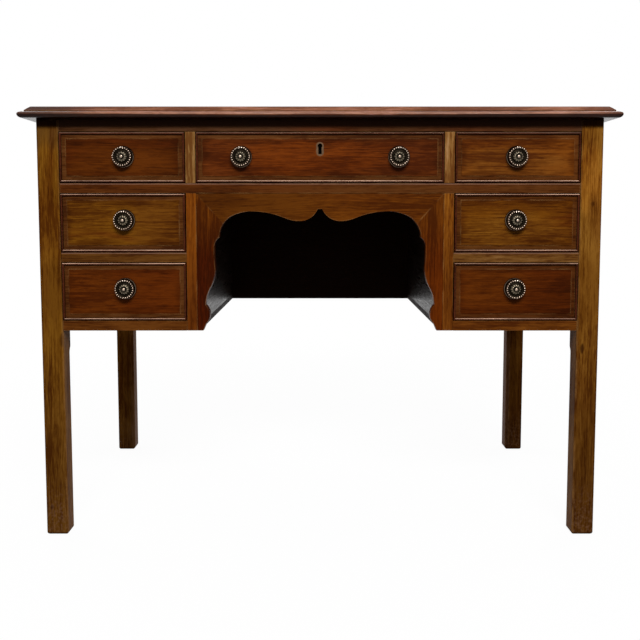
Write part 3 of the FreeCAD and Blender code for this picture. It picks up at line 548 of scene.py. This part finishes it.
def finish_leg(wood, node):
    """Inner face, scuffed foot and rounded arrises of a leg, with painted light on the inner faces of front
    legs and painted shade on rear ones and on outer arrises.
    """
    side = -1 if node.endswith("left") else 1
    # Painted light on the inner faces of the front legs, painted shade on those of the rear legs.
    inward = wood.times(wood.facing("X"), -side)
    inner_light_and_shade = FRONT_LEG_INNER_LIGHT if node.startswith("front") else REAR_LEG_INNER_SHADE
    wood.blush(inner_light_and_shade, wood.between(inward, *INNER_FACING, 0.0, INNER_SHARE))
    specks = wood.between(wood.noise(wood.place, SCUFF_SIZE, roughness=0.7), *SCUFF_LEVELS)
    foot = wood.between(wood.z, *SCUFF_FADE, 0.0, SCUFF_SHARE, smooth=True)
    wood.tone = wood.mix(wood.times(specks, foot), wood.tone, SCUFF)
    low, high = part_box(node)
    middle = abs(low[0] + high[0]) / 2
    # Outer arrises take a painted shade in place of the worn tone.
    outward = wood.between(wood.times(wood.x, side), middle, middle + ARRIS_FADE)
    edge = wood.mix(outward, WORN, LEG_OUTER_ARRIS_SHADE)
    return wood.finish(shine=LEG_SHINE, worn=LEG_WEAR, corner_shade=FRAME_CORNER_SHADE, reach=FRAME_CORNER_SHADE_REACH,
                       soft=LEG_ROUND, edge=edge, edge_reach=LEG_ROUND)


for seed, (node, (grain, tone, rounding)) in enumerate(FRAME.items(), start=FRAME_SEED):
    wood = Wood(f"wood_{node}", grain, shades(*tone), seed)
    add_tones(wood, node)
    if node in FOOT_SHADE_TONES:
        dress(node, finish_leg(wood, node))
    else:
        dress(node, wood.finish(worn=FRAME_WEAR, corner_shade=FRAME_CORNER_SHADE, reach=FRAME_CORNER_SHADE_REACH))
    soften(node, rounding * MM)

# Table top: boards glued edge to edge, polished more than the frame.
# Boards are the index of the axis across them and their width.
TOP_TONES = shades(114, 61, 31)
TOP_SEED = 61.8
TOP_BOARDS = (1, 0.145)
TOP_SHINE = 0.12
TOP_ROUGHNESS = (0.14, 0.24)
TOP_FLAT_DULL = 0.12
TOP_WEAR = 0.5
TOP_ROUND = 0.6 * MM
# The moulding round the top: how level the surface is where the flat ends and where the moulding is full,
# its tones, paler than the flat, partly wear and partly a painted sheen, the nose's share of the thickness,
# and the pale curve of the nose, partly rubbed wear and partly a painted highlight.
MOULDING_LEVEL = (0.995, 0.96)
MOULDING_WEAR_AND_SHEEN_TONES = shades(134, 82, 54)
NOSE_SHARE = 0.45
NOSE_FADE = 1.0 * MM
NOSE_RUB_AND_HIGHLIGHT = colour(232, 188, 166)
NOSE_RUB_AND_HIGHLIGHT_SHARE = 0.24
NOSE_RUB_AND_HIGHLIGHT_START = -0.15
# The moulding darkens towards its ends, as the places along X between which it comes in and its shares
# there, and along its upper arris, as depths below the top.
LEFT_END = (-0.36, -0.50, 0.0, 0.82)
RIGHT_END = (0.485, 0.52, 0.0, 0.5)
UPPER_ARRIS_BEGINS = 1.8 * MM
UPPER_ARRIS_FULL = 1.0 * MM
UPPER_ARRIS_SHARE = 0.4
# Painted shade on what faces down, which reaches further round the nose towards the ends than in the middle.
SPARED = (0.15, 0.38, 0.12, -0.16)
UNDERSIDE_SHADE = (0.12, -0.35, 0.0, 0.92)


def dress_top():
    """The flat of the top, its moulding and its underside."""
    top = Wood("wood_table_top", "X", TOP_TONES, TOP_SEED, boards=TOP_BOARDS)
    slope = top.facing("Z")
    moulding = top.between(slope, *MOULDING_LEVEL)
    # The moulding is paler than the flat, partly wear and partly a painted sheen.
    top.blush(MOULDING_WEAR_AND_SHEEN_TONES, moulding)
    quirk = TOP_LOW[2] + NOSE_SHARE * (TOP_HIGH[2] - TOP_LOW[2])
    # A pale curve on the nose, partly rubbed wear and partly a painted highlight.
    nose = top.between(top.z, quirk, quirk - NOSE_FADE, 0.0, NOSE_RUB_AND_HIGHLIGHT_SHARE)
    top.rub_and_highlight_upper_curve(NOSE_RUB_AND_HIGHLIGHT, nose, start=NOSE_RUB_AND_HIGHLIGHT_START)
    left_end = top.between(top.x, *LEFT_END, smooth=True)
    right_end = top.between(top.x, *RIGHT_END, smooth=True)
    ends = top.math("MAXIMUM", left_end, right_end)
    begins = TOP_HIGH[2] - UPPER_ARRIS_BEGINS
    full = TOP_HIGH[2] - UPPER_ARRIS_FULL
    arris = top.between(top.z, begins, full, 0.0, UPPER_ARRIS_SHARE)
    top.lay_dirt_and_shade(top.times(moulding, top.math("MAXIMUM", ends, arris)))
    # Painted shade on what faces down.
    spared = top.between(top.math("ABSOLUTE", top.x), *SPARED, smooth=True)
    top.lay_dirt_and_shade(top.between(top.math("ADD", slope, spared), *UNDERSIDE_SHADE, smooth=True))
    flat_dull = top.between(moulding, 0.0, 1.0, TOP_FLAT_DULL, 0.0)
    dress("table_top", top.finish(shine=TOP_SHINE, tint=PLAIN_SHINE, roughness=TOP_ROUGHNESS, worn=TOP_WEAR,
                                  dull=flat_dull))
    soften("table_top", TOP_ROUND)


dress_top()

# Back panel: dull all over, and painted dark on its inner face to the depth of a skin, a painted shade for
# the inside of the knee hole.
BACK_TONES = shades(78, 40, 14)
BACK_INNER_SHADE = shades(20, 9, 5)
BACK_SEED = 37.3
BACK_BOARDS = (2, 0.126)
BACK_SKIN = 4.0 * MM
BACK_FADE = 2.0 * MM
back = Wood("wood_back_panel", "X", BACK_TONES, BACK_SEED, boards=BACK_BOARDS)
back_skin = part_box("back_panel")[0][1] + BACK_SKIN
# Painted shade on the inner face.
back.blush(BACK_INNER_SHADE, back.between(back.y, back_skin, back_skin + BACK_FADE, 1.0, 0.0))
dress("back_panel", back.finish(shine=0.02, roughness=(0.5, 0.65)))

# Panels beside the knee hole: dark, with a dull lipping along the lower edge.
KNEE_TONES = shades(30, 19, 12)
KNEE_SEED = 41
LIPPING = 11.0 * MM
LIPPING_FADE = 1.0 * MM
LIPPING_DIRT = 0.8
LIPPING_DULL = 0.35
for seed, node in enumerate(("knee_panel_left", "knee_panel_right"), start=KNEE_SEED):
    panel = Wood(f"wood_{node}", "Y", KNEE_TONES, seed)
    height = panel.math("SUBTRACT", panel.z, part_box(node)[0][2])
    lipping = panel.between(height, LIPPING, LIPPING - LIPPING_FADE)
    panel.lay_dirt_and_shade(panel.times(lipping, LIPPING_DIRT))
    dress(node, panel.finish(shine=0.14, tint=PLAIN_SHINE, roughness=(0.24, 0.5),
                             dull=panel.times(lipping, LIPPING_DULL)))

# Plain wood that the drawers run on.
INSIDE_TONES = shades(146, 108, 66)
INSIDE_SEED = 71
for seed, node in enumerate(("runners_and_kickers", "guides_and_stops"), start=INSIDE_SEED):
    inside = Wood(f"wood_{node}", "Y", INSIDE_TONES, seed)
    dress(node, inside.finish(shine=0.1, roughness=(0.55, 0.75)))

# Drawers: tone of the field, tone of its glow, and the glow's centre and reach as shares of the front.
DRAWERS = {
    "upper_left_drawer": ((64, 25, 2), (77, 34, 4), (0.50, 0.30), (0.50, 0.45)),
    "middle_left_drawer": ((100, 58, 8), (88, 47, 8), (0.78, 0.55), (0.30, 0.50)),
    "lower_left_drawer": ((78, 31, 3), (92, 42, 6), (0.25, 0.40), (0.32, 0.55)),
    "centre_drawer": ((88, 39, 9), (92, 38, 4), (0.50, 0.50), (0.36, 0.50)),
    "upper_right_drawer": ((97, 48, 8), (101, 55, 13), (0.45, 0.40), (0.45, 0.45)),
    "middle_right_drawer": ((91, 48, 5), (104, 61, 12), (0.45, 0.25), (0.50, 0.40)),
    "lower_right_drawer": ((69, 26, 2), (82, 36, 4), (0.30, 0.60), (0.35, 0.50)),
}
FRONT_SEED = 83.1
FRONT_FIGURE = ((0.22, 0.03, 0.03), 0.50, 0.74)
FRONT_FIGURE_SHARE = 0.6
FRONT_WEAR = 0.5
FRONT_ROUND = 0.4 * MM
GLOW_SHARE = 0.85
# The border round the field, fainter on the right, and the field's dark ragged edge.
BORDER_TONES = shades(78, 42, 14)
BORDER = 10.9 * MM
BORDER_FADE = 0.3 * MM
BORDER_SHARE_RIGHT = 0.6
EDGE_TONES = shades(58, 21, 2)
EDGE_WIDTH = 13.0 * MM
EDGE_UNEVEN = 8.0 * MM
EDGE_SIZE = (0.05, 0.008, 0.008)
EDGE_SHARE = 0.6


def dress_front(drawer, seed):
    """A figured field that darkens towards its edges, inside a border."""
    tone, glow_tone, centre, reach = DRAWERS[drawer]
    box_low, box_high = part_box(f"{drawer}_front")
    low = (box_low[0], box_low[2])
    high = (box_high[0], box_high[2])
    size = [last - first for first, last in zip(low, high)]
    wood = Wood(f"wood_{drawer}_front", "X", shades(*tone), seed)
    wood.blush(RED, wood.times(wood.patches(*FRONT_FIGURE), FRONT_FIGURE_SHARE))
    glow_place = [first + share * side for first, share, side in zip(low, centre, size)]
    glow_reach = [share * side for share, side in zip(reach, size)]
    wood.blush(shades(*glow_tone), wood.times(wood.glow(glow_place, glow_reach), GLOW_SHARE))
    depth = wood.inside([edge + BORDER for edge in low], [edge - BORDER for edge in high])
    ragged = wood.spread(wood.noise(wood.along, EDGE_SIZE, detail=4.0), -EDGE_UNEVEN, EDGE_UNEVEN)
    near_edge = wood.between(wood.math("ADD", depth, ragged), 0.0, EDGE_WIDTH, EDGE_SHARE, 0.0, smooth=True)
    wood.blush(EDGE_TONES, near_edge)
    border_share = BORDER_SHARE_RIGHT if "right" in drawer else 1.0
    wood.blush(BORDER_TONES, wood.between(depth, 0.0, -BORDER_FADE, 0.0, border_share))
    dress(f"{drawer}_front", wood.finish(worn=FRONT_WEAR))
    soften(f"{drawer}_front", FRONT_ROUND)


# Cockbeads: pale wear and painted highlight on the lower strip, and on the upper one, which gets less in the
# top row where the top shades it.
BEAD_TONES = shades(64, 25, 9)
BEAD_SEED = 93.7
BEAD_WEAR_AND_HIGHLIGHT = colour(222, 181, 154)
LOWER_WEAR_AND_HIGHLIGHT = 0.95
UPPER_WEAR_AND_HIGHLIGHT = 0.8
UPPER_HIGHLIGHT_TOP_ROW = 0.2
TOP_ROW = 0.70


def dress_cockbead(drawer, seed):
    """Dark polished strips with a pale line along the upper side, partly rubbed wear and partly a painted
    highlight.
    """
    node = f"{drawer}_cockbead"
    low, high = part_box(node)
    bead = Wood(f"wood_{node}", "X", BEAD_TONES, seed)
    # The upper strips of the top row get less of the painted highlight, a painted shade under the top.
    upper_highlight = UPPER_HIGHLIGHT_TOP_ROW if high[2] > TOP_ROW else UPPER_WEAR_AND_HIGHLIGHT
    bead.rub_and_highlight_upper_curve(BEAD_WEAR_AND_HIGHLIGHT, bead.between(bead.z, low[2], high[2], LOWER_WEAR_AND_HIGHLIGHT, upper_highlight))
    dress(node, bead.finish(shine=0.10, roughness=(0.14, 0.24), reach=4.0 * MM))


# Linings: the sides, back and bottom of a drawer.
LINING_TONES = shades(158, 116, 68)
LINING_SEED = 103.7
LINING_ROUND = 0.8 * MM


def dress_lining(drawer, seed):
    """Plain unpolished wood."""
    lining = Wood(f"wood_{drawer}_lining", "Y", LINING_TONES, seed)
    material = lining.finish(shine=0.15, roughness=(0.5, 0.7))
    for node in (f"{drawer}_box", f"{drawer}_bottom"):
        dress(node, material)
    soften(f"{drawer}_box", LINING_ROUND)


for index, drawer in enumerate(DRAWERS):
    dress_front(drawer, FRONT_SEED + index)
    dress_cockbead(drawer, BEAD_SEED + index)
    dress_lining(drawer, LINING_SEED + index)

# Metal of the lock and the screws.
dress("escutcheon", brass("plate_brass", (18, 12, 8), (56, 41, 30), (92, 70, 52)))
# The lock's brass turns nearly black far into its recesses, a painted shade that keeps the keyhole dark.
LOCK_BRASS_SHADED = brass("lock_brass", (5, 3, 2), (70, 54, 36), (112, 92, 64), roughness=0.42,
                   stops=(0.40, 0.70, 0.95), reach=25.0 * MM)
for node in ("lock_case", "lock_bolt"):
    dress(node, LOCK_BRASS_SHADED)
dress("top_screws", brass("screw_steel", (30, 29, 28), (96, 94, 92), (140, 138, 136)))

# Knobs, in millimetres. Profiles are (radius, place out from the drawer front), and for the petals also the
# depth of the grooves between them.
PLATE = [(2.8, 3.2), (2.8, 0.0), (19.3, 0.0), (19.3, 1.4)]
LIP = [(18.9, 2.5), (18.1, 3.2), (17.3, 3.0)]
HOLLOW = [(16.8, 2.2), (15.8, 1.9), (9.0, 2.2), (7.6, 3.2)]
NUT = [(2.6, -20.0), (6.0, -20.0), (6.0, -23.4), (5.4, -24.0), (2.6, -24.0)]
STUD = [(0.0, -27.0), (2.5, -27.0), (2.5, 3.2)]
NECK = [(6.5, 3.2), (6.3, 4.2), (6.7, 5.3), (8.4, 6.9), (11.2, 8.3), (14.2, 9.2), (15.9, 9.8)]
RIM = [(16.8, 10.4), (17.2, 11.2), (17.1, 12.1), (16.7, 12.7), (16.2, 12.8), (15.9, 12.3)]
DISH = [(14.3, 12.2), (13.9, 11.9), (13.6, 10.6), (12.5, 10.1), (10.9, 10.2), (10.1, 10.7)]
PETALS = [(9.9, 11.6, 1.3), (9.3, 12.9, 1.8), (8.3, 13.9, 1.6), (7.0, 14.7, 1.0), (5.9, 15.0, 0.3),
          (5.4, 13.2), (2.9, 12.8)]
EYE = [(2.8, 14.6), (2.6, 15.5), (2.0, 16.2), (1.1, 16.6), (0.0, 16.7)]
ROSE_RADIUS = 19.3
PETAL_COUNT = 12
TURNING_STEPS = 96
NUT_SIDES = 6
BEAD_COUNT = 24
BEAD_RING = 15.5
BEAD_OUT = 13.0
BEAD_RADIUS = 1.45
BEAD_DETAIL = 2
# The two beads at the top of the ring are painted bright, a painted glint where the light catches the top of
# the knob.
GLINT_BEADS = (BEAD_COUNT // 4 - 1, BEAD_COUNT // 4)
KNOB_SHARP_TURN = math.radians(38)
# The dark brass of the rose, neck and dish is partly tarnish and partly a painted shade under the head.
KNOB_METALS = [
    brass("knob_dark_brass", (5, 4, 3), (16, 12, 8), (34, 27, 19), roughness=0.5),
    brass("knob_petal_brass", (7, 5, 3), (36, 31, 23), (108, 98, 82), stops=(0.35, 0.70, 0.95)),
    brass("knob_bead_brass", (10, 7, 5), (52, 42, 33), (172, 152, 134), roughness=0.26,
          stops=(0.35, 0.68, 0.92)),
    brass("knob_rim_brass", (9, 6, 4), (40, 32, 24), (110, 92, 76), roughness=0.20,
          stops=(0.35, 0.70, 0.95)),
    brass("knob_glint_brass", (40, 30, 22), (150, 128, 110), (246, 226, 208), roughness=0.20,
          stops=(0.25, 0.50, 0.75)),
]
DARK_METAL, PETAL_METAL, BEAD_METAL, RIM_METAL, GLINT_METAL = range(len(KNOB_METALS))
ROSE_SECTIONS = [(PLATE, DARK_METAL), (LIP, RIM_METAL), (HOLLOW, DARK_METAL)]
NUT_SECTIONS = [(NUT, DARK_METAL)]
HEAD_SECTIONS = [(STUD + NECK, DARK_METAL), (RIM, RIM_METAL), (DISH, DARK_METAL), (PETALS, PETAL_METAL),
                 (EYE, BEAD_METAL)]


def turn(mesh, sections, centre, steps, closed):
    """Turn the sections of a profile round the axis of a knob; closed joins the last ring to the first."""
    rings = []
    metals = []
    for profile, metal in sections:
        for radius, out, *groove in profile:
            depth = groove[0] if groove else 0.0
            ring = []
            for step in range(steps if radius else 1):
                angle = math.tau * step / steps
                sink = depth * (1 - abs(math.cos(PETAL_COUNT * angle / 2)))
                offset = Vector((radius * math.cos(angle), sink - out, radius * math.sin(angle)))
                ring.append(mesh.verts.new(centre + offset * MM))
            rings.append(ring)
            metals.append(metal)
    bands = list(zip(rings, rings[1:], metals[1:]))
    if closed:
        bands.append((rings[-1], rings[0], metals[0]))
    for first, second, metal in bands:
        for step in range(steps):
            corners = [first[step % len(first)], first[(step + 1) % len(first)],
                       second[(step + 1) % len(second)], second[step % len(second)]]
            face = mesh.faces.new(dict.fromkeys(corners))
            face.material_index = metal


def add_knob(mesh, centre):
    """One knob with its rose, beads, stud and nut; centre is on the face of the drawer front."""
    turn(mesh, ROSE_SECTIONS, centre, TURNING_STEPS, closed=True)
    turn(mesh, NUT_SECTIONS, centre, NUT_SIDES, closed=True)
    turn(mesh, HEAD_SECTIONS, centre, TURNING_STEPS, closed=False)
    for step in range(BEAD_COUNT):
        angle = math.tau * (step + 0.5) / BEAD_COUNT
        offset = Vector((BEAD_RING * math.cos(angle), -BEAD_OUT, BEAD_RING * math.sin(angle)))
        made = bmesh.ops.create_icosphere(mesh, subdivisions=BEAD_DETAIL, radius=BEAD_RADIUS * MM)
        bmesh.ops.translate(mesh, verts=made["verts"], vec=centre + offset * MM)
        # The beads at the top take the painted glint.
        for face in {face for vert in made["verts"] for face in vert.link_faces}:
            face.material_index = GLINT_METAL if step in GLINT_BEADS else BEAD_METAL


def make_knobs(drawer):
    """The knobs of a drawer: one, or a pair where the CAD node is wider than one knob."""
    low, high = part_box(f"{drawer}_knob")
    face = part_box(f"{drawer}_front")[0][1]
    radius = ROSE_RADIUS * MM
    pair = high[0] - low[0] > 4 * radius
    places = (low[0] + radius, high[0] - radius) if pair else ((low[0] + high[0]) / 2,)
    mesh = bmesh.new()
    for x in places:
        add_knob(mesh, Vector((x, face, (low[2] + high[2]) / 2)))
    bmesh.ops.recalc_face_normals(mesh, faces=mesh.faces[:])
    data = bpy.data.meshes.new(f"{drawer}_beaded_knob")
    mesh.to_mesh(data)
    mesh.free()
    data.shade_smooth()
    data.set_sharp_from_angle(angle=KNOB_SHARP_TURN)
    for metal in KNOB_METALS:
        data.materials.append(metal)
    piece = bpy.data.objects.new(f"{drawer}_beaded_knob", data)
    bpy.context.scene.collection.objects.link(piece)
    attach(piece, drawer)
    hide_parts(f"{drawer}_knob")


for drawer in DRAWERS:
    make_knobs(drawer)

# Floor: its colour as the eye sees it and as a source of light. Its whiteness is given as the distances
# between which it changes, and its shares near the table and far off.
WHITE = (1.0, 1.0, 1.0, 1.0)
FLOOR_SIZE = 16.0
FLOOR_SEEN = (0.9, 0.9, 0.9, 1.0)
FLOOR_LIT = (0.16, 0.16, 0.16, 1.0)
FLOOR_WHITENESS = (0.7, 2.2, 0.96, 1.0)


def make_floor():
    """A plain floor that is white to the eye and keeps the table's shadow."""
    mesh = bpy.data.meshes.new("floor")
    half = FLOOR_SIZE / 2
    corners = [(-half, -half, 0), (half, -half, 0), (half, half, 0), (-half, half, 0)]
    mesh.from_pydata(corners, [], [(0, 1, 2, 3)])
    floor = bpy.data.objects.new("floor", mesh)
    bpy.context.scene.collection.objects.link(floor)
    shader = Shader("pale_floor")
    path = shader.add("LightPath").outputs
    seen = shader.math("ADD", path["Is Camera Ray"], path["Is Glossy Ray"], clamp=True)
    seen = shader.math("ADD", seen, path["Is Transmission Ray"], clamp=True)
    away = shader.vector("LENGTH", shader.add("TexCoord").outputs["Object"])
    white = shader.times(seen, shader.between(away, *FLOOR_WHITENESS, smooth=True))
    tone = shader.mix(seen, FLOOR_LIT, FLOOR_SEEN)
    shader.feed(shader.surface, Base_Color=tone, Roughness=0.9, Specular_IOR_Level=0.0)
    glow = shader.add("Emission", Color=WHITE, Strength=1.0)
    both = shader.add("MixShader", Fac=white)
    shader.tree.links.new(shader.surface.outputs[0], both.inputs[1])
    shader.tree.links.new(glow.outputs[0], both.inputs[2])
    shader.tree.links.new(both.outputs[0], shader.output.inputs["Surface"])
    mesh.materials.append(shader.material)


# World: the strength of its light on the table, next to 1 where it is seen.
AMBIENT = 0.22


def make_world():
    """A background that is white to the eye and lights the table a little from all round."""
    world = bpy.data.worlds.new("studio")
    bpy.context.scene.world = world
    world.use_nodes = True
    tree = world.node_tree
    back = tree.nodes["Background"]
    back.inputs["Color"].default_value = WHITE
    path = tree.nodes.new("ShaderNodeLightPath")
    seen = path.outputs["Is Camera Ray"]
    for name in ("Is Glossy Ray", "Is Transmission Ray"):
        total = tree.nodes.new("ShaderNodeMath")
        total.operation = "ADD"
        total.use_clamp = True
        tree.links.new(seen, total.inputs[0])
        tree.links.new(path.outputs[name], total.inputs[1])
        seen = total.outputs[0]
    level = tree.nodes.new("ShaderNodeMapRange")
    level.inputs["To Min"].default_value = AMBIENT
    level.inputs["To Max"].default_value = 1.0
    tree.links.new(seen, level.inputs["Value"])
    tree.links.new(level.outputs[0], back.inputs["Strength"])


# Lamps as place, aim, width and height, and watts.
LAMPS = {
    "key": ((0.25, -2.9, 2.65), (0.0, -0.25, 0.55), (1.8, 0.6), 125),
    "back_left": ((-2.4, 2.2, 1.9), (0.0, 0.0, 0.45), (2.6, 2.4), 52),
    "back_right": ((2.4, 2.2, 1.9), (0.0, 0.0, 0.45), (2.6, 2.4), 52),
}


def make_lamp(name):
    """A soft rectangular lamp that the camera doesn't see."""
    place, aim, (width, height), watts = LAMPS[name]
    lamp = bpy.data.lights.new(name, "AREA")
    lamp.shape = "RECTANGLE"
    lamp.size = width
    lamp.size_y = height
    lamp.energy = watts
    thing = bpy.data.objects.new(name, lamp)
    thing.location = place
    thing.rotation_euler = (Vector(aim) - Vector(place)).to_track_quat("-Z", "Y").to_euler()
    thing.visible_camera = False
    bpy.context.scene.collection.objects.link(thing)


# Camera at the photograph's viewpoint: close in front, at the height of the middle drawers.
CAMERA_PLACE = (0.0, -1.6231, 0.5929)
CAMERA_TILT_DOWN = math.radians(4.334)
CAMERA_SHIFT = -0.0804
SENSOR_MM = 36.0
LENS_MM = 42.85


def make_camera():
    """The camera, with the shift that the photograph's framing needs."""
    data = bpy.data.cameras.new("camera")
    data.sensor_width = SENSOR_MM
    data.lens = LENS_MM
    data.shift_y = CAMERA_SHIFT
    camera = bpy.data.objects.new("camera", data)
    camera.location = CAMERA_PLACE
    camera.rotation_euler = (math.pi / 2 - CAMERA_TILT_DOWN, 0.0, 0.0)
    bpy.context.scene.collection.objects.link(camera)
    bpy.context.scene.camera = camera


make_floor()
make_world()
for lamp_name in LAMPS:
    make_lamp(lamp_name)
make_camera()
bpy.context.scene.view_settings.view_transform = "Standard"
